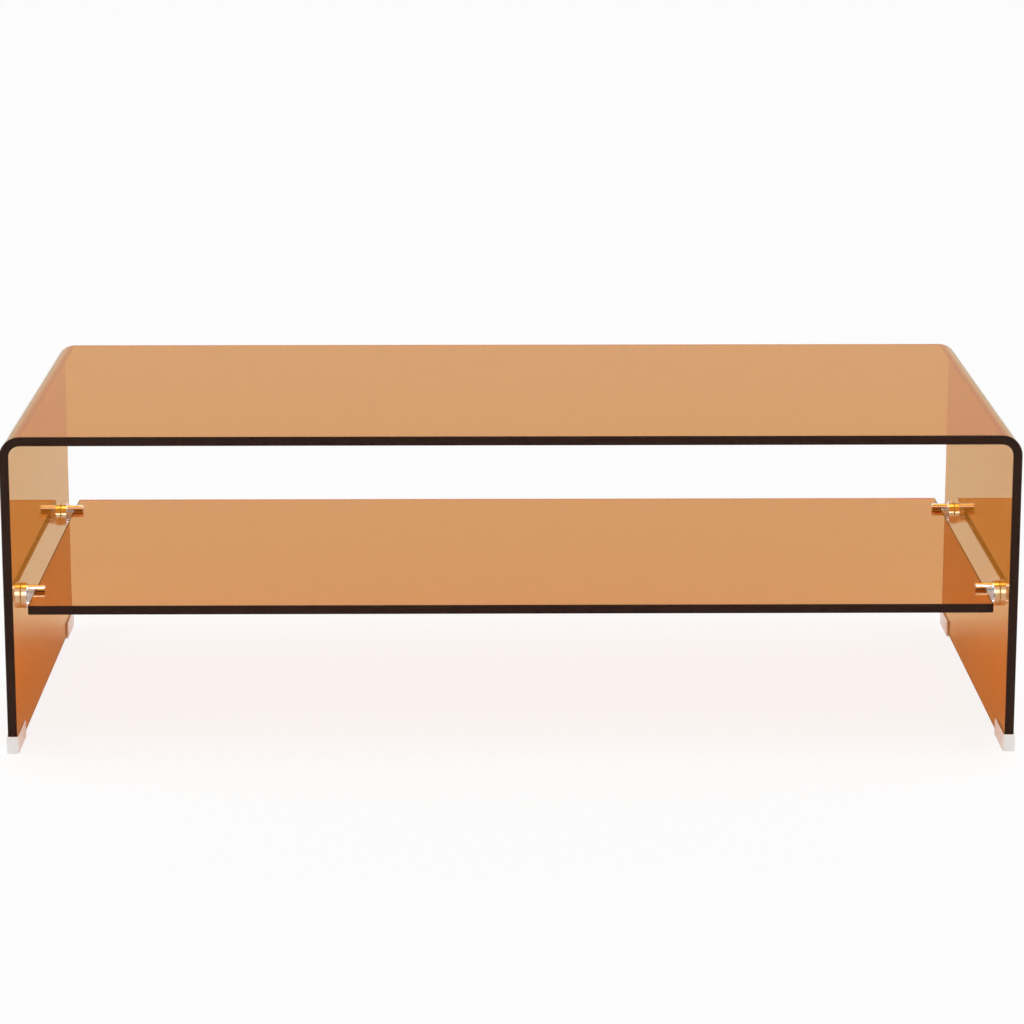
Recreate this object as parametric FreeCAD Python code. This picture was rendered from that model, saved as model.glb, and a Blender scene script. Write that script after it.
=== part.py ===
"""Waterfall coffee table: one bent glass sheet, a glass shelf, four pin clamps and four corner feet.

Millimetres, +Z up. The origin is on the floor under the middle of the table. +X runs along the
length of the top, and the front of the table faces -Y.
"""
import FreeCAD, Part
import os

os.makedirs("parts", exist_ok=True)

# Table
table_width = 1100.0
table_depth = 550.0
table_height = 353.0

# Bent glass sheet
glass_thickness = 10.0
bend_inner_radius = 12.5
leg_corner_radius = 3.0
edge_arris = 0.5

# Glass shelf
shelf_thickness = 10.0
shelf_top_height = 163.0
shelf_setback = 13.0
shelf_corner_radius = 3.0

# Corner feet
foot_height = 19.0
foot_length = 65.0
foot_sole = 3.0
foot_wall = 1.8
foot_edge_radius = 0.8
foot_fit_clearance = 0.1

# Clamp bases, bonded to the inner faces of the legs
clamp_inset = 77.0
bond_thickness = 0.2
base_thickness = 6.5
base_rise = 1.2
base_rim = 2.6
base_edge_radius = 0.6
base_floor = 1.5

# Pins, over and under the shelf
upper_pin_diameter = 7.0
lower_pin_diameter = 5.0
pin_overlap = 12.5
pin_tip_radius = 1.8
spigot_diameter = 3.0
spigot_clearance = 0.05

# Pads between the pins and the shelf
pad_thickness = 0.5
pad_width = 3.0
pad_margin = 0.75
pad_clearance = 0.05

# Buffers between the bases and the ends of the shelf
buffer_length = 7.0
buffer_side_clearance = 0.5
buffer_end_clearance = 0.3
buffer_spigot_diameter = 5.0
buffer_edge_radius = 0.8

# Length by which every cut runs past the face that it opens
cut_overrun = 2.0

# Places worked out from the sizes above
half_width = table_width / 2
half_depth = table_depth / 2
inner_half_width = half_width - glass_thickness
glass_bottom = foot_sole + foot_fit_clearance
bend_outer_radius = bend_inner_radius + glass_thickness

shelf_end_gap = bond_thickness + base_thickness + buffer_length + buffer_end_clearance
shelf_half_width = inner_half_width - shelf_end_gap
shelf_half_depth = half_depth - shelf_setback
shelf_bottom_height = shelf_top_height - shelf_thickness
shelf_middle_height = shelf_top_height - shelf_thickness / 2

clamp_half_spread = half_depth - clamp_inset
base_glass_side = inner_half_width - bond_thickness
base_face = base_glass_side - base_thickness
pin_gap = shelf_thickness / 2 + pad_thickness + pad_clearance
base_radius = pin_gap + lower_pin_diameter + base_rise + base_rim
spigot_hole_depth = base_thickness - base_floor
pin_tip = shelf_half_width - pin_overlap
buffer_radius = pin_gap - buffer_side_clearance

# Tolerance for finding an edge by its place, as a share of the smallest edge
find_tolerance_share = 0.1
find_tolerance = edge_arris * find_tolerance_share

SIDES = {"left": -1, "right": 1}
ENDS = {"front": -1, "rear": 1}
LEVELS = {"upper": 1, "lower": -1}
UP = FreeCAD.Vector(0, 0, 1)
BACK = FreeCAD.Vector(0, 1, 0)


def save(shape, node):
    """Write one piece to its own file and print its size."""
    solid = shape.Solids[0]
    solid.exportStep(f"parts/{node}.step")
    box = solid.BoundBox
    print(f"{node}: {box.XLength:.2f} x {box.YLength:.2f} x {box.ZLength:.2f} mm,",
          f"{len(shape.Solids)} solid, valid {solid.isValid()}, volume {solid.Volume:.1f}")


def block(x_ends, y_ends, z_ends):
    """Return a box between two places on each axis, given in either order."""
    low = FreeCAD.Vector(min(x_ends), min(y_ends), min(z_ends))
    high = FreeCAD.Vector(max(x_ends), max(y_ends), max(z_ends))
    size = high - low
    return Part.makeBox(size.x, size.y, size.z, low)


def edges_where(shape, wanted):
    """Return the edges whose bounding box passes the test."""
    return [edge for edge in shape.Edges if wanted(edge.BoundBox)]


def near(place, target):
    """Say whether two places are the same."""
    return abs(place - target) < find_tolerance


def runs_along(box, axis):
    """Say whether an edge is straight along X, Y or Z."""
    lengths = {"x": box.XLength, "y": box.YLength, "z": box.ZLength}
    along = lengths.pop(axis)
    return along > find_tolerance and max(lengths.values()) < find_tolerance


def bent_sheet():
    """Return the top and both legs: one sheet, bent at two corners, with its edges eased."""
    bend_x = half_width - bend_outer_radius
    bend_z = table_height - bend_outer_radius
    diagonal_share = 0.5 ** 0.5

    def bend(side, radius):
        """Return the quarter circle of one bend from its leg end to its top end, as three points."""
        rise = radius * diagonal_share
        leg_end = FreeCAD.Vector(side * (bend_x + radius), -half_depth, bend_z)
        middle = FreeCAD.Vector(side * (bend_x + rise), -half_depth, bend_z + rise)
        top_end = FreeCAD.Vector(side * bend_x, -half_depth, bend_z + radius)
        return leg_end, middle, top_end

    def foot_point(side, distance):
        """Return the bottom of one face of a leg."""
        return FreeCAD.Vector(side * distance, -half_depth, glass_bottom)

    outer_left = bend(SIDES["left"], bend_outer_radius)
    outer_right = bend(SIDES["right"], bend_outer_radius)
    inner_left = bend(SIDES["left"], bend_inner_radius)
    inner_right = bend(SIDES["right"], bend_inner_radius)
    outer_left_foot = foot_point(SIDES["left"], half_width)
    outer_right_foot = foot_point(SIDES["right"], half_width)
    inner_left_foot = foot_point(SIDES["left"], inner_half_width)
    inner_right_foot = foot_point(SIDES["right"], inner_half_width)

    outline = Part.Wire([
        Part.LineSegment(outer_left_foot, outer_left[0]).toShape(),
        Part.Arc(*outer_left).toShape(),
        Part.LineSegment(outer_left[-1], outer_right[-1]).toShape(),
        Part.Arc(*reversed(outer_right)).toShape(),
        Part.LineSegment(outer_right[0], outer_right_foot).toShape(),
        Part.LineSegment(outer_right_foot, inner_right_foot).toShape(),
        Part.LineSegment(inner_right_foot, inner_right[0]).toShape(),
        Part.Arc(*inner_right).toShape(),
        Part.LineSegment(inner_right[-1], inner_left[-1]).toShape(),
        Part.Arc(*reversed(inner_left)).toShape(),
        Part.LineSegment(inner_left[0], inner_left_foot).toShape(),
        Part.LineSegment(inner_left_foot, outer_left_foot).toShape(),
    ])
    sheet = Part.Face(outline).extrude(BACK * table_depth)

    bottom_corners = edges_where(sheet, lambda box: runs_along(box, "x") and near(box.ZMax, glass_bottom)
                                 and near(abs(box.YMin), half_depth))
    sheet = sheet.makeFillet(leg_corner_radius, bottom_corners)

    def on_rim(box):
        """Pick the edges between a broad face and the ground edge of the sheet."""
        across_thickness = runs_along(box, "x") and near(box.XLength, glass_thickness)
        bend_line = runs_along(box, "y") and box.ZMin > glass_bottom + leg_corner_radius
        return not across_thickness and not bend_line

    return sheet.makeChamfer(edge_arris, edges_where(sheet, on_rim))


def shelf():
    """Return the flat shelf with rounded corners and eased edges."""
    plate = block((-shelf_half_width, shelf_half_width), (-shelf_half_depth, shelf_half_depth),
                  (shelf_bottom_height, shelf_top_height))
    plate = plate.makeFillet(shelf_corner_radius, edges_where(plate, lambda box: runs_along(box, "z")))
    rim = edges_where(plate, lambda box: box.ZLength < find_tolerance)
    return plate.makeChamfer(edge_arris, rim)


def clamp_centre(side, end, distance):
    """Return a point at one clamp, level with the middle of the shelf, at a distance from the table's middle."""
    return FreeCAD.Vector(side * distance, end * clamp_half_spread, shelf_middle_height)


def base_centre(side, end, distance):
    """Return a point on the axis of a clamp base, which lies above the middle of the shelf."""
    return clamp_centre(side, end, distance) + UP * base_rise


def pin_radius(level):
    """Return the radius of an upper or a lower pin."""
    return (upper_pin_diameter if level > 0 else lower_pin_diameter) / 2


def pin_centre(side, end, level, distance):
    """Return a point on the axis of a pin."""
    return clamp_centre(side, end, distance) + UP * (level * (pin_gap + pin_radius(level)))


def inward(side):
    """Return the direction from a leg towards the middle of the table."""
    return FreeCAD.Vector(-side, 0, 0)


def round_bar(radius, start, direction, length):
    """Return a cylinder from a point along a direction."""
    return Part.makeCylinder(radius, length, start, direction)


def rims_at(shape, distance):
    """Return the round edges that lie at a distance from the middle of the table."""
    return edges_where(shape, lambda box: near(abs(box.XMin), distance) and box.XLength < find_tolerance)


def bond_film(side, end):
    """Return the film of cured adhesive between a leg and a clamp base."""
    start = base_centre(side, end, inner_half_width)
    return round_bar(base_radius - base_edge_radius, start, inward(side), bond_thickness)


def clamp_base(side, end):
    """Return a round base with blind holes for two pins and a buffer."""
    base = round_bar(base_radius, base_centre(side, end, base_glass_side), inward(side), base_thickness)
    base = base.makeFillet(base_edge_radius, rims_at(base, base_face) + rims_at(base, base_glass_side))
    mouth = clamp_centre(side, end, base_face)
    pin_hole_radius = spigot_diameter / 2 + spigot_clearance
    buffer_hole_radius = buffer_spigot_diameter / 2 + spigot_clearance
    holes = [round_bar(buffer_hole_radius, mouth, -inward(side), spigot_hole_depth)]
    for level in LEVELS.values():
        pin_mouth = pin_centre(side, end, level, base_face)
        holes.append(round_bar(pin_hole_radius, pin_mouth, -inward(side), spigot_hole_depth))
    return base.cut(holes)


def clamp_pin(side, end, level):
    """Return a pin: a spigot in the base, and a round shank with a rounded tip past the shelf's end."""
    start = pin_centre(side, end, level, base_face)
    shank = round_bar(pin_radius(level), start, inward(side), base_face - pin_tip)
    shank = shank.makeFillet(pin_tip_radius, rims_at(shank, pin_tip))
    spigot = round_bar(spigot_diameter / 2, start, -inward(side), spigot_hole_depth - spigot_clearance)
    return shank.fuse(spigot).removeSplitter()


def end_buffer(side, end):
    """Return a soft plug, seated in the base, that faces the end of the shelf."""
    start = clamp_centre(side, end, base_face)
    plug = round_bar(buffer_radius, start, inward(side), buffer_length)
    plug = plug.makeFillet(buffer_edge_radius, rims_at(plug, base_face - buffer_length))
    spigot = round_bar(buffer_spigot_diameter / 2, start, -inward(side), spigot_hole_depth - spigot_clearance)
    return plug.fuse(spigot).removeSplitter()


def pin_pad(side, end, level):
    """Return a thin rubber pad on the shelf: it lies under an upper pin, or over a lower one."""
    outer = shelf_half_width - pad_margin
    inner = pin_tip + pad_margin
    face = shelf_middle_height + level * shelf_thickness / 2
    middle = end * clamp_half_spread
    return block((side * inner, side * outer), (middle - pad_width / 2, middle + pad_width / 2),
                 (face, face + level * pad_thickness))


def corner_foot(side, end):
    """Return a foot: a sole, two lips and an end wall round the bottom corner of a leg."""
    lip = foot_fit_clearance + foot_wall
    outer_x = half_width + lip
    inner_x = inner_half_width - lip
    closed_y = half_depth + lip
    open_y = closed_y - foot_length
    body = block((side * inner_x, side * outer_x), (end * closed_y, end * open_y), (0, foot_height))
    rounded = edges_where(body, lambda box: near(box.YMin, end * closed_y) or near(box.YMax, end * closed_y)
                          or runs_along(box, "y"))
    body = body.makeFillet(foot_edge_radius, rounded)
    pocket = block((side * (inner_half_width - foot_fit_clearance), side * (half_width + foot_fit_clearance)),
                   (end * (half_depth + foot_fit_clearance), end * (open_y - cut_overrun)),
                   (foot_sole, foot_height + cut_overrun))
    return body.cut(pocket)


save(bent_sheet(), "bent_glass_top_and_legs")
save(shelf(), "glass_shelf")
for end_name, end in ENDS.items():
    for side_name, side in SIDES.items():
        corner = f"{end_name}_{side_name}"
        save(bond_film(side, end), f"bond_film_{corner}")
        save(clamp_base(side, end), f"clamp_base_{corner}")
        save(end_buffer(side, end), f"end_buffer_{corner}")
        save(corner_foot(side, end), f"corner_foot_{corner}")
        for level_name, level in LEVELS.items():
            save(clamp_pin(side, end, level), f"{level_name}_pin_{corner}")
            save(pin_pad(side, end, level), f"{level_name}_pad_{corner}")
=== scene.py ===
# %% [markdown]
# # A waterfall coffee table in amber glass
# One sheet of amber glass is bent twice, so that it runs down, across and down again like water over two
# steps: it is the top and both legs. A flat shelf of the same glass lies between the legs on chrome pins,
# and four milky plastic shoes keep the bottom corners off the floor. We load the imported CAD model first,
# because it says where every piece sits, and we note its box so that the looks never outgrow it.

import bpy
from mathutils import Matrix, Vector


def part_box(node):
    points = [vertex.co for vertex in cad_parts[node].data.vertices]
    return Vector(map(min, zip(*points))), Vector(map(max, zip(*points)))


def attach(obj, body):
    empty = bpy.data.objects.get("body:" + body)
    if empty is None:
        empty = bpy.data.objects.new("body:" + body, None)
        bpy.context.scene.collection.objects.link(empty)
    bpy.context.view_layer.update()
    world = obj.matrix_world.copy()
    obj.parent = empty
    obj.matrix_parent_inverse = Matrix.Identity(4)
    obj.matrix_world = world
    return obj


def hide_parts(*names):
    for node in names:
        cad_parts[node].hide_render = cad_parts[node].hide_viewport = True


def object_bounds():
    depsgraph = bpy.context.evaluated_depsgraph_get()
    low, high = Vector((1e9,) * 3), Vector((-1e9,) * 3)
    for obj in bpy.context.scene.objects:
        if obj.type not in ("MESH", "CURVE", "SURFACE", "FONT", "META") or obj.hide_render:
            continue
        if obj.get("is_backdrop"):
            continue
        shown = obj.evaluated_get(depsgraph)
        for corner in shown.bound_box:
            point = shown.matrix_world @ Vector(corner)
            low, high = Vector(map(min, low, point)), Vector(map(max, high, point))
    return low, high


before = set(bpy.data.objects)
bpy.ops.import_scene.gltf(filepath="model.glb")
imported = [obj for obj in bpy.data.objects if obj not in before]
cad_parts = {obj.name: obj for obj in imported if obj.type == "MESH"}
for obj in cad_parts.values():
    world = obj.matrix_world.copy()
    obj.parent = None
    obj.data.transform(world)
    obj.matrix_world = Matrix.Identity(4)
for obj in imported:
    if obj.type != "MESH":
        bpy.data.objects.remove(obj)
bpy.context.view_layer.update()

# %% Modules
import math

import bmesh
import bpy
import numpy as np
from mathutils import Vector

scene = bpy.context.scene
scene.view_settings.view_transform = "Standard"
print("nodes in the frame:", len(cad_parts))

# %% [markdown]
# ## From arrays to a mesh
# Every piece below is worked out as arrays of points. A grid of points needs to know which four neighbours
# make each face, and a piece then needs its mesh, its finish and its place in the frame. Blender's own
# primitives could be stretched to fit, but a formula keeps each edge where the CAD has it.

# %% Faces of a grid
def grid_quads(rows, columns, close_columns=False):
    """Corner numbers of the faces of a grid. Point (i, j) has the number i * columns + j, and a face joins
    (i, j), (i + 1, j), (i + 1, j + 1) and (i, j + 1). Closed columns join the last point of a row to its
    first."""
    i = np.arange(rows - 1)[:, None]
    j = np.arange(columns if close_columns else columns - 1)[None, :]
    j_next = (j + 1) % columns
    corners = [i * columns + j, (i + 1) * columns + j, (i + 1) * columns + j_next, i * columns + j_next]
    return np.stack(np.broadcast_arrays(*corners), axis=-1).reshape(-1, 4)


def tube_faces(rows, columns):
    """Faces of a tube of rings: the grid between the rings, and one flat face that closes each end."""
    faces = grid_quads(rows, columns, close_columns=True).tolist()
    faces.append(list(range(columns)))
    faces.append(list(range((rows - 1) * columns, rows * columns)))
    return faces


print("a tube of 2 rings of 4 points has", len(tube_faces(2, 4)), "faces, like a box")

# %% A mesh from points and faces
CREASE = math.radians(28)
CM3_PER_M3 = 1e6


def closed_mesh(name, points, faces):
    """A mesh whose faces are turned outwards. It is shaded smooth, and edges that fold by more than CREASE
    stay sharp. Open edges would be holes, so their number is printed."""
    mesh = bpy.data.meshes.new(name)
    mesh.from_pydata(points.reshape(-1, 3).tolist(), [], faces)
    shell = bmesh.new()
    shell.from_mesh(mesh)
    bmesh.ops.recalc_face_normals(shell, faces=shell.faces)
    open_edges = sum(not edge.is_manifold for edge in shell.edges)
    volume = shell.calc_volume(signed=True) * CM3_PER_M3
    shell.to_mesh(mesh)
    shell.free()
    mesh.shade_smooth()
    mesh.set_sharp_from_angle(angle=CREASE)
    print(f"{name}: {len(mesh.polygons)} faces, {volume:.2f} cm3, open edges {open_edges}")
    return mesh


# %% A piece from a mesh
def make_piece(name, points, faces, material, slot, node):
    """A piece at the origin, with its place in its mesh. It rides on the frame in place of its node."""
    mesh = closed_mesh(name, points, faces)
    mesh.materials.append(material)
    piece = bpy.data.objects.new(name, mesh)
    scene.collection.objects.link(piece)
    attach(piece, "root")
    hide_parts(node)
    return piece


# %% [markdown]
# ## A line with rounded corners
# Glass edges, turned metal and moulded plastic are all straight runs with small arcs between them. One
# helper rounds the corners of a line and also gives the direction square to it, so that a profile can be
# carried along the line afterwards. A short straight lead beside each arc keeps the wide flats truly flat
# when Blender smooths the shading across the arc.

# %% The corners of a line
def unit(vectors):
    """Each vector divided by its own length."""
    return vectors / np.linalg.norm(vectors, axis=-1, keepdims=True)


def turning_corners(corners, closed):
    """The corners where a line turns, and its directions into and out of each. An open line doesn't turn at
    its two ends."""
    middle = corners if closed else corners[1:-1]
    before = np.roll(corners, 1, axis=0) if closed else corners[:-2]
    after = np.roll(corners, -1, axis=0) if closed else corners[2:]
    return middle, unit(middle - before), unit(after - middle)


print("the direction of (3, 4) is", unit(np.array([3.0, 4.0])))

# %% Round the corners of a line
def rounded_line(corners, radii, steps, lead, closed=False):
    """A flat line through corners, with an arc of radius r at each one, and the left-hand normals along it.
    Where the line turns by an angle t, the arc starts r * tan(t / 2) before the corner, its centre lies r to
    the inner side, and its points are the centre minus r times the normal while the heading turns by t. One
    more point lies on the straight run beside each end of the arc, at the distance lead."""
    corners = np.asarray(corners, float)
    middle, into, out = turning_corners(corners, closed)
    turn = np.arctan2(into[:, 0] * out[:, 1] - into[:, 1] * out[:, 0], (into * out).sum(axis=1))
    radii = np.broadcast_to(np.asarray(radii, float), turn.shape)
    heading = np.arctan2(into[:, 1], into[:, 0])[:, None] + turn[:, None] * np.linspace(0, 1, steps + 1)
    normals = np.stack([-np.sin(heading), np.cos(heading)], axis=-1)
    start = middle - into * (radii * np.tan(np.abs(turn) / 2))[:, None]
    bow = (np.sign(turn) * radii)[:, None]
    arcs = (start + normals[:, 0] * bow)[:, None] - normals * bow[:, None]
    first = arcs[:, :1] - into[:, None] * lead
    last = arcs[:, -1:] + out[:, None] * lead
    points = np.concatenate([first, arcs, last], axis=1).reshape(-1, 2)
    normals = np.concatenate([normals[:, :1], normals, normals[:, -1:]], axis=1).reshape(-1, 2)
    if not closed:
        points = np.concatenate([corners[:1], points, corners[-1:]])
        normals = np.concatenate([normals[:1], normals, normals[-1:]])
    return points, normals


elbow, _ = rounded_line([(0, 0), (1, 0), (1, 1)], 0.5, 2, 0.1)
print("an elbow in two steps:", elbow.round(2).tolist())

# %% [markdown]
# ## Nodes for the finishes
# Each finish is a small tree of shader nodes. One helper starts an empty material, one adds a node and sets
# or links its inputs in one go, and the others add the few kinds of nodes that every finish needs. All
# patterns read Object coordinates, which are metres here, so a scale of 100 means a pattern about a
# centimetre wide.

# %% Helpers for node trees
WHITE = (1, 1, 1, 1)


def new_finish(name):
    """An empty node material and its tree."""
    material = bpy.data.materials.new(name)
    material.use_nodes = True
    material.node_tree.nodes.clear()
    return material, material.node_tree


def add_node(tree, kind, inputs=None, **settings):
    """A node of one kind with its settings. An input that is given a socket is linked to it, and any other
    value is set on the input itself."""
    node = tree.nodes.new(kind)
    for key, value in settings.items():
        setattr(node, key, value)
    for key, value in (inputs or {}).items():
        if isinstance(value, bpy.types.NodeSocket):
            tree.links.new(value, node.inputs[key])
        else:
            node.inputs[key].default_value = value
    return node


# %% Helpers for patterns
def noise(tree, place, scale, detail):
    """A soft noise from 0 to 1, about 1 / scale metres wide, with finer noise on it for more detail."""
    inputs = {"Vector": place, "Scale": scale, "Detail": detail}
    return add_node(tree, "ShaderNodeTexNoise", inputs).outputs[0]


def ranged(tree, value, low, high):
    """A pattern's value from 0 to 1, spread from low to high."""
    return add_node(tree, "ShaderNodeMapRange", {"Value": value, "To Min": low, "To Max": high}).outputs[0]


def toned(tree, value, dark, light):
    """A colour that goes from dark to light as a pattern's value goes from 0 to 1."""
    inputs = {"Factor": value, "A": (*dark, 1), "B": (*light, 1)}
    return add_node(tree, "ShaderNodeMix", inputs, data_type="RGBA").outputs["Result"]


def lifted(tree, height, strength, distance):
    """The surface's direction, tilted as if the pattern were a height of up to that distance in metres."""
    inputs = {"Height": height, "Strength": strength, "Distance": distance}
    return add_node(tree, "ShaderNodeBump", inputs).outputs[0]


# %% Helpers for sums and mixtures
def maths(tree, operation, *values):
    """The result of one operation on its values."""
    return add_node(tree, "ShaderNodeMath", dict(enumerate(values)), operation=operation).outputs[0]


def mixed(tree, share, first, second):
    """Two shaders in one: a share of the second and the rest of the first."""
    return add_node(tree, "ShaderNodeMixShader", {0: share, 1: first.outputs[0], 2: second.outputs[0]})


# %% [markdown]
# ## Amber glass
# Real amber glass is coloured all the way through: a thin pane is honey, and its long edge, where light
# travels through half a metre of glass, is nearly black. So the colour is an absorption inside the volume,
# and the surface only bends light and mirrors it, more so the more aslant it is seen. The mirror is tinted
# by the angle, a painted reflection colour: brown head on, amber aslant and white along the surface, which
# stands in for amber light round the table that the glass mirrors. That makes the cut edges dark brown and
# the top honey. Rays that only carry light, to the floor or to a lamp, pass straight through and take the
# amber with them. A faint slow wave is left by the bending oven.

# %% The painted tint of the mirror
# Painted reflection colours, from head on to along the surface, standing in for amber light round the table.
GLASS_PAINTED_REFLECTION_TINTS = (
    (0.0, (0.95, 0.48, 0.345)),
    (0.825, (0.97, 0.70, 0.43)),
    (0.87, (1.0, 0.78, 0.48)),
    (1.0, (1.0, 0.95, 0.88)),
)
EVEN_BLEND = 0.5


def painted_reflection_tint(tree, normal):
    """A ramp of painted reflection colours over the angle: at an even blend, Facing is 1 minus the cosine of
    the angle between the ray and the surface's direction, so 0 is head on and 1 is along the surface."""
    aslant = add_node(tree, "ShaderNodeLayerWeight", {"Blend": EVEN_BLEND, "Normal": normal})
    tint = add_node(tree, "ShaderNodeValToRGB", {"Fac": aslant.outputs["Facing"]})
    stops = tint.color_ramp.elements
    for position, _ in GLASS_PAINTED_REFLECTION_TINTS[1:-1]:
        stops.new(position)
    for stop, (position, colour) in zip(stops, GLASS_PAINTED_REFLECTION_TINTS):
        stop.position = position
        stop.color = (*colour, 1)
    return tint.outputs["Color"]


# %% The clear and mirroring surface
GLASS_BEND_OF_LIGHT = 1.5
GLASS_WAVE_SCALE = 9.0
GLASS_WAVE_DETAIL = 1.0
GLASS_WAVE_STRENGTH = 1.0
GLASS_WAVE_HEIGHT = 0.00002
GLASS_SMEAR_SCALE = 60.0
GLASS_SMEAR_DETAIL = 6.0
GLASS_ROUGH = (0.0, 0.005)


def glass_surface(tree):
    """Bent light and mirrored light: a share is mirrored, which grows as the surface is seen more aslant. A
    slow wave tilts both, and a fine smear makes the mirror a little rougher in places."""
    place = add_node(tree, "ShaderNodeTexCoord").outputs["Object"]
    wave = noise(tree, place, GLASS_WAVE_SCALE, GLASS_WAVE_DETAIL)
    smear = noise(tree, place, GLASS_SMEAR_SCALE, GLASS_SMEAR_DETAIL)
    gloss = ranged(tree, smear, *GLASS_ROUGH)
    lift = lifted(tree, wave, GLASS_WAVE_STRENGTH, GLASS_WAVE_HEIGHT)
    clear = add_node(
        tree, "ShaderNodeBsdfRefraction",
        {"Color": WHITE, "Roughness": 0.0, "IOR": GLASS_BEND_OF_LIGHT, "Normal": lift},
    )
    # The mirror's colour is the painted reflection tint, which follows the angle.
    mirror = add_node(
        tree, "ShaderNodeBsdfAnisotropic",
        {"Color": painted_reflection_tint(tree, lift), "Roughness": gloss, "Normal": lift},
    )
    share = add_node(tree, "ShaderNodeFresnel", {"IOR": GLASS_BEND_OF_LIGHT, "Normal": lift})
    return mixed(tree, share.outputs[0], clear, mirror)


# %% The amber inside
GLASS_THICKNESS = 0.010
GLASS_TAKES_PER_METRE = (27.0, 94.0, 255.0)


def amber_glass_finish():
    """The surface over an absorbing volume, which takes (1 - colour) * density from each metre of a ray."""
    material, tree = new_finish("amber_glass")
    body = glass_surface(tree)
    path = add_node(tree, "ShaderNodeLightPath").outputs
    light_only = maths(tree, "MAXIMUM", path["Is Shadow Ray"], path["Is Diffuse Ray"])
    through = add_node(tree, "ShaderNodeBsdfTransparent", {"Color": WHITE})
    surface = mixed(tree, light_only, body, through)
    density = max(GLASS_TAKES_PER_METRE)
    colour = [1 - taken / density for taken in GLASS_TAKES_PER_METRE]
    amber = add_node(tree, "ShaderNodeVolumeAbsorption", {"Color": (*colour, 1), "Density": density})
    add_node(tree, "ShaderNodeOutputMaterial", {"Surface": surface.outputs[0], "Volume": amber.outputs[0]})
    return material


amber_glass = amber_glass_finish()
kept_shares = [round(math.exp(-taken * GLASS_THICKNESS), 3) for taken in GLASS_TAKES_PER_METRE]
print("one pane of amber glass keeps", kept_shares, "of red, green and blue")

# %% [markdown]
# ## The bent sheet
# The top and the legs are one strip of 10 mm glass. It could be a plane with Solidify and Bevel, but a
# profile carried along a path gives the true bend: the path runs up one leg, round the bend, across the top
# and down the other leg, and the profile is the strip's cross-section with its edges ground off. Near the
# bottom of each leg the profile narrows, which rounds the two corners there.

# %% Size the bent sheet
sheet_low, sheet_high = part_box("bent_glass_top_and_legs")
BEND_OUTER_RADIUS = 0.0225
BEND_STEPS = 40
FLAT_LEAD = 0.001
LEG_CORNER_RADIUS = 0.003
LEG_CORNER_STEPS = 7
LEG_CORNER_FIRST_ANGLE = 0.7
ARRIS = 0.0005
ARRIS_SHARES = np.array([0.0, 0.3, 1.0])
print("sheet is", [round(b - a, 4) for a, b in zip(sheet_low, sheet_high)])

# %% The path of the bent sheet
def sheet_path():
    """The sheet's outer line as points (x, z), and the directions from it into the table. Near a leg's end
    the points lie at shares of the arris from that end, and then at R * (1 - cos t) for even steps of the
    angle t, where R is the radius of the leg's corners."""
    x, top, bottom = sheet_high.x, sheet_high.z, sheet_low.z
    corners = [(x, bottom), (x, top), (-x, top), (-x, bottom)]
    path, inward = rounded_line(corners, BEND_OUTER_RADIUS, BEND_STEPS, FLAT_LEAD)
    angle = np.linspace(LEG_CORNER_FIRST_ANGLE, math.pi / 2, LEG_CORNER_STEPS)
    ease = np.concatenate([ARRIS * ARRIS_SHARES, LEG_CORNER_RADIUS * (1 - np.cos(angle))])
    rise = np.stack([np.full(ease.size, x), bottom + ease], axis=1)
    fall = rise[::-1] * [-1, 1]
    first = np.tile(inward[:1], (ease.size, 1))
    last = np.tile(inward[-1:], (ease.size, 1))
    return np.concatenate([rise, path[1:-1], fall]), np.concatenate([first, inward[1:-1], last])


print("the path has", len(sheet_path()[0]), "points")

# %% Build the bent sheet
PROFILE_SIDE_A = np.array([-1, -1, -1, 1, 1, 1, 1, -1])
PROFILE_SIDE_B = np.array([-1, 1, 1, 1, 1, -1, -1, -1])
PROFILE_CUT_A = np.array([0, 0, 1, 1, 0, 0, 1, 1])
PROFILE_CUT_B = np.array([1, 1, 0, 0, 1, 1, 0, 0])


def lost(radius, from_end):
    """What a rounded end of radius R takes off at a distance s from it: R - sqrt(R^2 - (R - s)^2)."""
    short = np.clip(radius - from_end, 0, radius)
    return radius - np.sqrt(radius**2 - short**2)


def bent_sheet():
    """Each point is P + a * N in x and z, and b in y, where P is a point of the path, N its direction into
    the table and (a, b) a corner of the profile. The profile is a rectangle whose corners are cut by the
    arris. Near a leg's end its half width loses what the leg's rounded corner takes off, and its half
    thickness loses the same with the arris for the radius."""
    path, inward = sheet_path()
    from_end = path[:, 1] - sheet_low.z
    half_width = sheet_high.y - lost(LEG_CORNER_RADIUS, from_end)
    half_thick = GLASS_THICKNESS / 2 - lost(ARRIS, from_end)
    a = GLASS_THICKNESS / 2 + PROFILE_SIDE_A * (half_thick[:, None] - PROFILE_CUT_A * ARRIS)
    b = PROFILE_SIDE_B * (half_width[:, None] - PROFILE_CUT_B * ARRIS)
    points = np.stack([path[:, :1] + a * inward[:, :1], b, path[:, 1:] + a * inward[:, 1:]], axis=-1)
    return points, tube_faces(*a.shape)


make_piece("bent_sheet", *bent_sheet(), amber_glass, "amber_glass", "bent_glass_top_and_legs")

# %% [markdown]
# ## Flat plates with ground edges
# The shelf is a flat plate with slightly rounded corners, and the small pads on the pins are plates too.
# Both are an outline with rounded corners, and an edge profile carried once around it. The two flats
# close the plate as single faces, so that they reflect like one pane and show no seams.

# %% A plate with rounded corners
PLATE_LEAD_SHARE = 0.5


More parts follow.
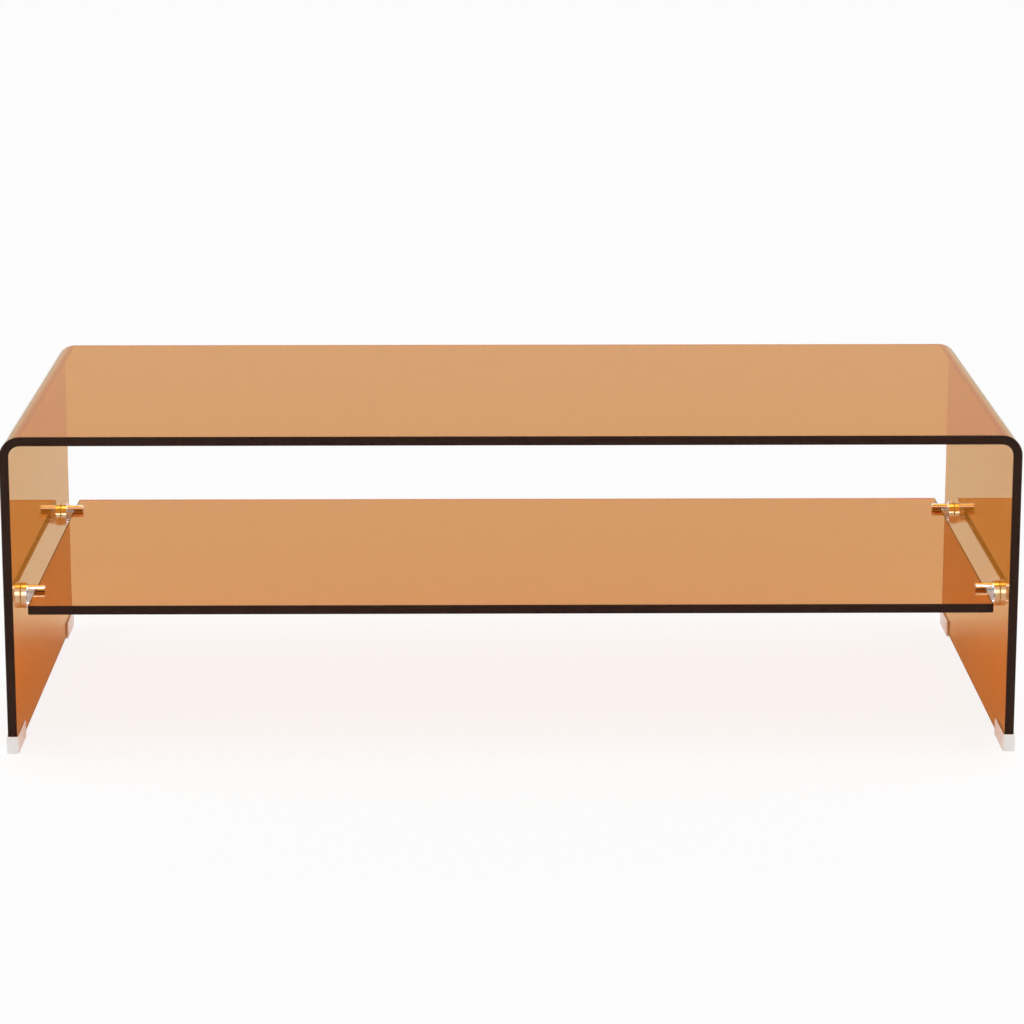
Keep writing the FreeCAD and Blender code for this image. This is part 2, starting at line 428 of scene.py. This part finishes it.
def plate(low, high, corner_radius, arris, steps):
    """Outline P(i) with inward normals N(i) and a profile of (inset, height) pairs: each point is
    P + inset * N at that height. The inset is the arris at the lower and upper flat and nothing between
    them."""
    corners = [(low[0], low[1]), (high[0], low[1]), (high[0], high[1]), (low[0], high[1])]
    lead = corner_radius * PLATE_LEAD_SHARE
    line, inward = rounded_line(corners, corner_radius, steps, lead, closed=True)
    inset = np.array([arris, 0, 0, arris])
    height = np.array([low[2], low[2] + arris, high[2] - arris, high[2]])
    flat = line[None] + inset[:, None, None] * inward[None]
    level = np.broadcast_to(height[:, None, None], flat.shape[:2] + (1,))
    return np.concatenate([flat, level], axis=-1), tube_faces(*flat.shape[:2])


# %% Build the shelf
SHELF_CORNER_RADIUS = 0.003
SHELF_CORNER_STEPS = 8
shelf_low, shelf_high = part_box("glass_shelf")
shelf = plate(shelf_low, shelf_high, SHELF_CORNER_RADIUS, ARRIS, SHELF_CORNER_STEPS)
make_piece("shelf_plate", *shelf, amber_glass, "amber_glass", "glass_shelf")

# %% [markdown]
# ## Chrome
# The clamps are turned from metal and chrome plated. Their finish is a bright metal with a breath of haze,
# and with very fine rings from the lathe. The rings follow each piece's own profile, so they read an
# attribute that is kept in the mesh: the distance run along the profile.

# %% The chrome finish
CHROME_DARK = (0.88, 0.88, 0.89)
CHROME_LIGHT = (0.95, 0.95, 0.95)
CHROME_ROUGH = (0.03, 0.12)
CHROME_HAZE_SCALE = 220.0
CHROME_HAZE_DETAIL = 4.0
RING_SCALE = 9000.0
RING_DETAIL = 3.0
RING_STRENGTH = 0.25
RING_HEIGHT = 0.00001


def chrome_finish():
    """Metal whose tone and roughness vary with a haze, and its height with the run along the profile."""
    material, tree = new_finish("chrome")
    run = add_node(tree, "ShaderNodeAttribute", attribute_name="profile_run").outputs["Fac"]
    place = add_node(tree, "ShaderNodeTexCoord").outputs["Object"]
    along = {"W": run, "Scale": RING_SCALE, "Detail": RING_DETAIL}
    rings = add_node(tree, "ShaderNodeTexNoise", along, noise_dimensions="1D").outputs[0]
    haze = noise(tree, place, CHROME_HAZE_SCALE, CHROME_HAZE_DETAIL)
    metal = add_node(
        tree, "ShaderNodeBsdfPrincipled",
        {"Base Color": toned(tree, haze, CHROME_DARK, CHROME_LIGHT), "Metallic": 1.0,
         "Roughness": ranged(tree, haze, *CHROME_ROUGH),
         "Normal": lifted(tree, rings, RING_STRENGTH, RING_HEIGHT)},
    )
    add_node(tree, "ShaderNodeOutputMaterial", {"Surface": metal.outputs[0]})
    return material


chrome = chrome_finish()
print("made", chrome.name)

# %% [markdown]
# ## Nylon, dark pads, adhesive and milky plastic
# The end stops are white nylon, the pads near black, the bond a film of clear adhesive and the shoes a
# milky plastic; the near-black pads give the dark band under each pin. All four come out of a mould or a
# tube, so they share one recipe: a tone that drifts a little, a grain too fine to see singly, and a share
# of light that goes through.

# %% The moulded finishes
DRIFT_SCALE = 90.0
DRIFT_DETAIL = 3.0
GRAIN_SCALE = 1800.0
GRAIN_DETAIL = 2.0
GRAIN_STRENGTH = 0.3


def moulded_finish(name, dark, light, rough, grain, clear, bends):
    """A moulded plastic: its colour drifts from dark to light and its roughness over a range with a soft
    noise, a fine grain lifts the surface, clear is the share of light that goes through it, and bends is
    how much it bends that light."""
    material, tree = new_finish(name)
    place = add_node(tree, "ShaderNodeTexCoord").outputs["Object"]
    drift = noise(tree, place, DRIFT_SCALE, DRIFT_DETAIL)
    fine = noise(tree, place, GRAIN_SCALE, GRAIN_DETAIL)
    plastic = add_node(
        tree, "ShaderNodeBsdfPrincipled",
        {"Base Color": toned(tree, drift, dark, light), "Roughness": ranged(tree, drift, *rough),
         "IOR": bends, "Transmission Weight": clear, "Normal": lifted(tree, fine, GRAIN_STRENGTH, grain)},
    )
    add_node(tree, "ShaderNodeOutputMaterial", {"Surface": plastic.outputs[0]})
    return material


# %% Make the moulded finishes
white_nylon = moulded_finish(
    "white_nylon", dark=(0.86, 0.86, 0.84), light=(0.93, 0.93, 0.91),
    rough=(0.35, 0.5), grain=0.00002, clear=0.0, bends=1.5,
)
# The pads are near black, which gives the dark band under each pin.
black_rubber = moulded_finish(
    "black_rubber", dark=(0.012, 0.012, 0.012), light=(0.03, 0.03, 0.03),
    rough=(0.5, 0.7), grain=0.00003, clear=0.0, bends=1.5,
)
clear_adhesive = moulded_finish(
    "clear_adhesive", dark=(0.92, 0.91, 0.86), light=(0.98, 0.97, 0.93),
    rough=(0.05, 0.15), grain=0.00001, clear=0.9, bends=1.45,
)
milky_plastic = moulded_finish(
    "milky_plastic", dark=(0.93, 0.925, 0.91), light=(0.98, 0.975, 0.96),
    rough=(0.3, 0.4), grain=0.00001, clear=0.08, bends=1.4,
)
print("made", white_nylon.name, black_rubber.name, clear_adhesive.name, milky_plastic.name)

# %% [markdown]
# ## Turned pieces
# Each clamp is a round base bonded to the inside of the leg, with one pin above the shelf and one below it,
# and a nylon stop between them that the shelf's end may touch. All of them are surfaces of revolution about
# a line along X, so one function turns a rounded profile about that line, as a lathe would.

# %% Turn a profile about a line along X
TURN_STEPS = 48
PROFILE_STEPS = 6


def turned(corners, radii, axis, lead):
    """A profile of (x, r) pairs turned about the line along X through axis = (y0, z0): at the angle t each
    pair becomes (x, y0 + r * cos t, z0 + r * sin t). The run along the profile comes with the points."""
    profile, _ = rounded_line(corners, radii, PROFILE_STEPS, lead)
    angle = np.linspace(0, 2 * math.pi, TURN_STEPS, endpoint=False)
    radius = profile[:, 1:]
    points = np.stack([
        np.broadcast_to(profile[:, :1], (len(profile), TURN_STEPS)),
        axis[0] + radius * np.cos(angle),
        axis[1] + radius * np.sin(angle),
    ], axis=-1)
    run = np.concatenate([[0], np.cumsum(np.linalg.norm(np.diff(profile, axis=0), axis=1))])
    return points, tube_faces(len(profile), TURN_STEPS), np.repeat(run, TURN_STEPS)


def turn_piece(name, corners, radii, axis, lead, material, slot, node):
    """A turned piece that also keeps, at each point, the distance run along its profile."""
    points, faces, run = turned(corners, radii, axis, lead)
    piece = make_piece(name, points, faces, material, slot, node)
    kept = piece.data.attributes.new("profile_run", "FLOAT", "POINT")
    kept.data.foreach_set("value", run.astype(np.float32))
    return piece


# %% Where a round node lies, and its profile
FLAT_SHARE = 1 / 3
TIP_SHARE = 1 / 6
MM_PER_M = 1e3


def across(node):
    """The side of the table (1 is right), the x nearest the leg, the x nearest the middle, the axis and the
    radius of a round node."""
    low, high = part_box(node)
    side = 1 if low.x + high.x > 0 else -1
    near, far = (high.x, low.x) if side > 0 else (low.x, high.x)
    axis = ((low.y + high.y) / 2, (low.z + high.z) / 2)
    return side, near, far, axis, (high.z - low.z) / 2


def stub(start, end, radius, end_share=FLAT_SHARE):
    """The profile of a round stub: out along its start, along its side and in along its end."""
    return [(start, radius * FLAT_SHARE), (start, radius), (end, radius), (end, radius * end_share)]


base_width = 2 * across("clamp_base_front_left")[-1] * MM_PER_M
print(f"a clamp base is {base_width:.1f} mm wide")

# %% [markdown]
# ## The clamps
# A film of adhesive, a base, two pins with a near-black pad each, and a nylon stop make one clamp. The pins
# and the stop screw into the base, so their surfaces start a little inside it. The film and the pads stay a
# hair's breadth clear of what they touch, because two surfaces in one place would flicker.

# %% Films and bases
FILM_GAP = 0.00002
BASE_EDGE_RADIUS = 0.0006
TINY_LEAD = 0.00008


def add_film(corner):
    """The disc of adhesive between the leg and the base."""
    side, near, far, axis, radius = across(f"bond_film_{corner}")
    profile = stub(near - side * FILM_GAP, far + side * FILM_GAP, radius)
    turn_piece(f"film_{corner}", profile, FILM_GAP, axis, FILM_GAP,
               clear_adhesive, "clear_adhesive", f"bond_film_{corner}")


def add_base(corner):
    """The round base, and the x of its face."""
    _, back, face, axis, radius = across(f"clamp_base_{corner}")
    turn_piece(f"base_{corner}", stub(back, face, radius), BASE_EDGE_RADIUS, axis, TINY_LEAD,
               chrome, "chrome", f"clamp_base_{corner}")
    return face


# %% Pins and stops
SEATED = 0.0004
SEAT_RADIUS = SEATED / 4
PIN_TIP_RADIUS = 0.0018
STOP_EDGE_RADIUS = 0.0008


def add_pin(level, corner, face):
    """A pin from inside the base to its rounded tip."""
    node = f"{level}_pin_{corner}"
    side, _, tip, axis, radius = across(node)
    profile = stub(face + side * SEATED, tip, radius, TIP_SHARE)
    turn_piece(f"pin_{level}_{corner}", profile, [SEAT_RADIUS, PIN_TIP_RADIUS], axis, TINY_LEAD,
               chrome, "chrome", node)


def add_stop(corner, face):
    """The nylon stop between the pins."""
    node = f"end_buffer_{corner}"
    side, _, tip, axis, radius = across(node)
    profile = stub(face + side * SEATED, tip, radius, TIP_SHARE)
    turn_piece(f"stop_{corner}", profile, [SEAT_RADIUS, STOP_EDGE_RADIUS], axis, TINY_LEAD,
               white_nylon, "white_nylon", node)


# %% Pads
PAD_CORNER_RADIUS = 0.0012
PAD_ARRIS = 0.00012
PAD_CORNER_STEPS = 5


def add_pad(level, corner):
    """The near-black pad between a pin and the shelf."""
    low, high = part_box(f"{level}_pad_{corner}")
    skin = Vector((0, 0, FILM_GAP))
    pad = plate(low + skin, high - skin, PAD_CORNER_RADIUS, PAD_ARRIS, PAD_CORNER_STEPS)
    make_piece(f"pad_{level}_{corner}", *pad, black_rubber, "black_rubber", f"{level}_pad_{corner}")


# %% Build the clamps
CORNERS = ("front_left", "front_right", "rear_left", "rear_right")

for corner in CORNERS:
    add_film(corner)
    face = add_base(corner)
    for level in ("upper", "lower"):
        add_pin(level, corner, face)
        add_pad(level, corner)
    add_stop(corner, face)

# %% [markdown]
# ## The corner shoes
# A shoe is a moulded cup that is pushed over the bottom corner of the leg: a sole, a wall along each face of
# the glass and a wall in front of its edge. Its wall profile goes up outside, over the rim and down inside,
# and is carried along a hairpin line round the corner. The sole, the floor of the channel and the open end
# are single faces that close the cup.

# %% Sizes of the shoes
SHOE_WALL = 0.0018
SHOE_SOLE = 0.003
SHOE_EDGE_RADIUS = 0.0008
SHOE_INNER_RADIUS = 0.0004
SHOE_CORNER_RADIUS = SHOE_WALL + SHOE_INNER_RADIUS
SHOE_CORNER_STEPS = 8
SHOE_RIM_STEPS = 5
print(f"a shoe's corner has a radius of {SHOE_CORNER_RADIUS * MM_PER_M:.1f} mm")

# %% The wall of a shoe
def shoe_wall(bottom, top):
    """The wall's profile as (inset, height) pairs: in along the sole, up outside, over the rim, down inside
    and in along the floor of the channel."""
    reach = SHOE_CORNER_RADIUS
    channel = bottom + SHOE_SOLE
    outside = [(reach, bottom), (0, bottom), (0, top)]
    inside = [(SHOE_WALL, top), (SHOE_WALL, channel), (reach, channel)]
    rim = [SHOE_EDGE_RADIUS, SHOE_EDGE_RADIUS, SHOE_EDGE_RADIUS, SHOE_INNER_RADIUS / 2]
    profile, _ = rounded_line(outside + inside, rim, SHOE_RIM_STEPS, TINY_LEAD)
    return profile


# %% Build the shoes
def shoe(low, high, front):
    """Hairpin line P(i) in plan with normals N(i) into the shoe, and the wall's (inset, height) pairs: each
    point is P + inset * N at that height. A rear shoe is the front one with Y turned round its middle."""
    plan = [(low.x, high.y), (low.x, low.y), (high.x, low.y), (high.x, high.y)]
    line, inward = rounded_line(plan, SHOE_CORNER_RADIUS, SHOE_CORNER_STEPS, SHOE_EDGE_RADIUS)
    profile = shoe_wall(low.z, high.z)
    flat = line[:, None] + profile[None, :, :1] * inward[:, None]
    if not front:
        flat = flat * [1, -1] + [0, low.y + high.y]
    height = np.broadcast_to(profile[None, :, 1:], flat.shape[:2] + (1,))
    rows, columns = flat.shape[:2]
    number = np.arange(rows * columns).reshape(rows, columns)
    faces = grid_quads(rows, columns).tolist()
    faces.append(number[:, 0].tolist())
    faces.append(number[:, -1].tolist())
    faces.append(np.concatenate([number[0], number[-1, ::-1]]).tolist())
    return np.concatenate([flat, height], axis=-1), faces


for corner in CORNERS:
    low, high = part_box(f"corner_foot_{corner}")
    make_piece(f"shoe_{corner}", *shoe(low, high, corner.startswith("front")),
               milky_plastic, "milky_plastic", f"corner_foot_{corner}")

# %% [markdown]
# ## The floor
# A plain pale floor is enough for glass, which shows what is around it. The floor is paper that takes the
# studio's light and the table's amber shadow. For the camera it is mixed with plain white by a large share,
# so that it looks almost white with a trace of the shadow. In glass and metal the share is small: the low
# legs show the amber light on the floor under the table, and more white would wash it out.

# %% The floor's paper
FLOOR_COLOUR = (0.95, 0.95, 0.95, 1)
FLOOR_WHITE_SHARE = 0.85
FLOOR_WHITE_IN_GLASS = 0.05


def paper_finish():
    """Matt paper, and white for a share of the rays: FLOOR_WHITE_SHARE from the camera, and
    FLOOR_WHITE_IN_GLASS through glass or off glass and metal."""
    material, tree = new_finish("studio_paper")
    paper = add_node(tree, "ShaderNodeBsdfDiffuse", {"Color": FLOOR_COLOUR})
    white = add_node(tree, "ShaderNodeEmission", {"Color": WHITE, "Strength": 1.0})
    path = add_node(tree, "ShaderNodeLightPath").outputs
    in_glass = maths(tree, "MAXIMUM", path["Is Glossy Ray"], path["Is Transmission Ray"])
    little = maths(tree, "MULTIPLY", in_glass, FLOOR_WHITE_IN_GLASS)
    share = maths(tree, "MULTIPLY_ADD", path["Is Camera Ray"], FLOOR_WHITE_SHARE, little)
    both = mixed(tree, share, paper, white)
    add_node(tree, "ShaderNodeOutputMaterial", {"Surface": both.outputs[0]})
    return material


# %% Lay the floor
FLOOR_REACH = 40.0


def studio_floor():
    """A square sheet at the height 0, from -FLOOR_REACH to FLOOR_REACH along X and Y."""
    corner_points = np.array([[-1, -1, 0], [1, -1, 0], [1, 1, 0], [-1, 1, 0]]) * FLOOR_REACH
    mesh = bpy.data.meshes.new("studio_floor")
    mesh.from_pydata(corner_points.tolist(), [], [[0, 1, 2, 3]])
    mesh.materials.append(paper_finish())
    floor = bpy.data.objects.new("studio_floor", mesh)
    scene.collection.objects.link(floor)
    floor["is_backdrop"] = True
    return floor


print("floor:", studio_floor().name)

# %% [markdown]
# ## The light
# A soft sky lights the table from every side, and most from overhead. The camera, glass and metal see it as
# plain white. Four wide softboxes stand low round the table and light the shoes under its edges. A narrow
# one overhead lights the floor below the glass, and one in front is only there to be mirrored: it is the
# white band along the chrome.

# %% The sky
SKY_AT_HORIZON = 0.34
SKY_RISE = 1.5
SKY_POWER = 4.0


def sky_level(tree):
    """SKY_AT_HORIZON + SKY_RISE * z^SKY_POWER, where z is the height of the direction and never under 0."""
    way = add_node(tree, "ShaderNodeTexCoord").outputs["Generated"]
    z = add_node(tree, "ShaderNodeSeparateXYZ", {"Vector": way}).outputs["Z"]
    up = maths(tree, "MAXIMUM", z, 0.0)
    risen = maths(tree, "POWER", up, SKY_POWER)
    return maths(tree, "MULTIPLY_ADD", risen, SKY_RISE, SKY_AT_HORIZON)


def studio_sky():
    """A world that lights with the sky's level, and is plain white to the camera and in glass and metal."""
    world = bpy.data.worlds.new("studio_sky")
    world.use_nodes = True
    tree = world.node_tree
    tree.nodes.clear()
    path = add_node(tree, "ShaderNodeLightPath").outputs
    mirrored = maths(tree, "MAXIMUM", path["Is Camera Ray"], path["Is Glossy Ray"])
    seen = maths(tree, "MAXIMUM", mirrored, path["Is Transmission Ray"])
    soft = add_node(tree, "ShaderNodeBackground", {"Color": WHITE, "Strength": sky_level(tree)})
    white = add_node(tree, "ShaderNodeBackground", {"Color": WHITE, "Strength": 1.0})
    both = mixed(tree, seen, soft, white)
    add_node(tree, "ShaderNodeOutputWorld", {"Surface": both.outputs[0]})
    scene.world = world
    return world


# On a level face, light counts by the height z of its direction, and z^n then averages 2 / (n + 2).
flat_level = SKY_AT_HORIZON + SKY_RISE * 2 / (SKY_POWER + 2)
print("sky:", studio_sky().name, "gives a level face", round(flat_level, 2))

# %% A softbox
def softbox(name, place, size, level, unseen_by):
    """A rectangle of light at a place, turned to the table, and not seen by the camera and by some kinds of
    rays. Its watts are its level times pi times its area, so that the level is how bright it looks beside
    the sky."""
    data = bpy.data.lights.new(name, "AREA")
    data.shape = "RECTANGLE"
    data.size, data.size_y = size
    data.energy = level * math.pi * size[0] * size[1]
    lamp = bpy.data.objects.new(name, data)
    scene.collection.objects.link(lamp)
    lamp.location = place
    lamp.rotation_euler = (-lamp.location).to_track_quat("-Z", "Y").to_euler()
    for rays in ("camera", *unseen_by):
        setattr(lamp, f"visible_{rays}", False)
    print(f"{name}: {data.energy:.0f} W")
    return lamp


# %% The mirrored softbox
FRONT_PLACE = (0.0, -4.4, 2.2)
FRONT_SIZE = (3.6, 2.6)
FRONT_LEVEL = 2.1
softbox("front_softbox", FRONT_PLACE, FRONT_SIZE, FRONT_LEVEL, ("diffuse", "transmission"))

# %% The low softboxes
LOW_TO_SIDE = 8.0
LOW_ALONG = 4.0
LOW_HEIGHT = 0.7
LOW_SIZE = (5.0, 1.3)
LOW_LEVEL = 7.0
for side, word in ((-1, "left"), (1, "right")):
    for way, end in ((-1, "front"), (1, "rear")):
        place = (side * LOW_TO_SIDE, way * LOW_ALONG, LOW_HEIGHT)
        softbox(f"{end}_{word}_softbox", place, LOW_SIZE, LOW_LEVEL, ("glossy", "transmission"))

# %% The overhead softbox
OVERHEAD_PLACE = (0.0, 0.0, 1.1)
OVERHEAD_SIZE = (1.9, 0.5)
OVERHEAD_LEVEL = 0.52
OVERHEAD_SPREAD = math.radians(50)
overhead = softbox("overhead_softbox", OVERHEAD_PLACE, OVERHEAD_SIZE, OVERHEAD_LEVEL, ("glossy",))
overhead.data.spread = OVERHEAD_SPREAD

# %% [markdown]
# ## The camera
# The camera stands four metres in front of the table, a little above it, with a long lens. Its place and
# its angles were fitted to the corners of the table in the photograph. The lens isn't shifted, so that the
# table stays in the middle when the camera is moved round it.

# %% The camera
CAMERA_PLACE = (-0.0340, -4.0754, 1.1441)
CAMERA_DOWN = math.radians(12.956)
CAMERA_TO_RIGHT = math.radians(0.522)
PICTURE_SIDE = 1024
FOCAL_PIXELS = 3617.3
SENSOR = 36.0
SIGHT = 100.0

camera_data = bpy.data.cameras.new("camera")
camera_data.sensor_width = SENSOR
camera_data.lens = FOCAL_PIXELS / PICTURE_SIDE * SENSOR
camera_data.clip_end = SIGHT
camera = bpy.data.objects.new("camera", camera_data)
scene.collection.objects.link(camera)
ahead = Vector((
    math.sin(CAMERA_TO_RIGHT) * math.cos(CAMERA_DOWN),
    math.cos(CAMERA_TO_RIGHT) * math.cos(CAMERA_DOWN),
    -math.sin(CAMERA_DOWN),
))
camera.location = CAMERA_PLACE
camera.rotation_euler = ahead.to_track_quat("-Z", "Y").to_euler()
scene.camera = camera
print(f"lens {camera_data.lens:.1f} mm")

# %% Print the sizes of the scene
low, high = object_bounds()
print("visual box:", [round(x, 4) for x in low], [round(x, 4) for x in high])
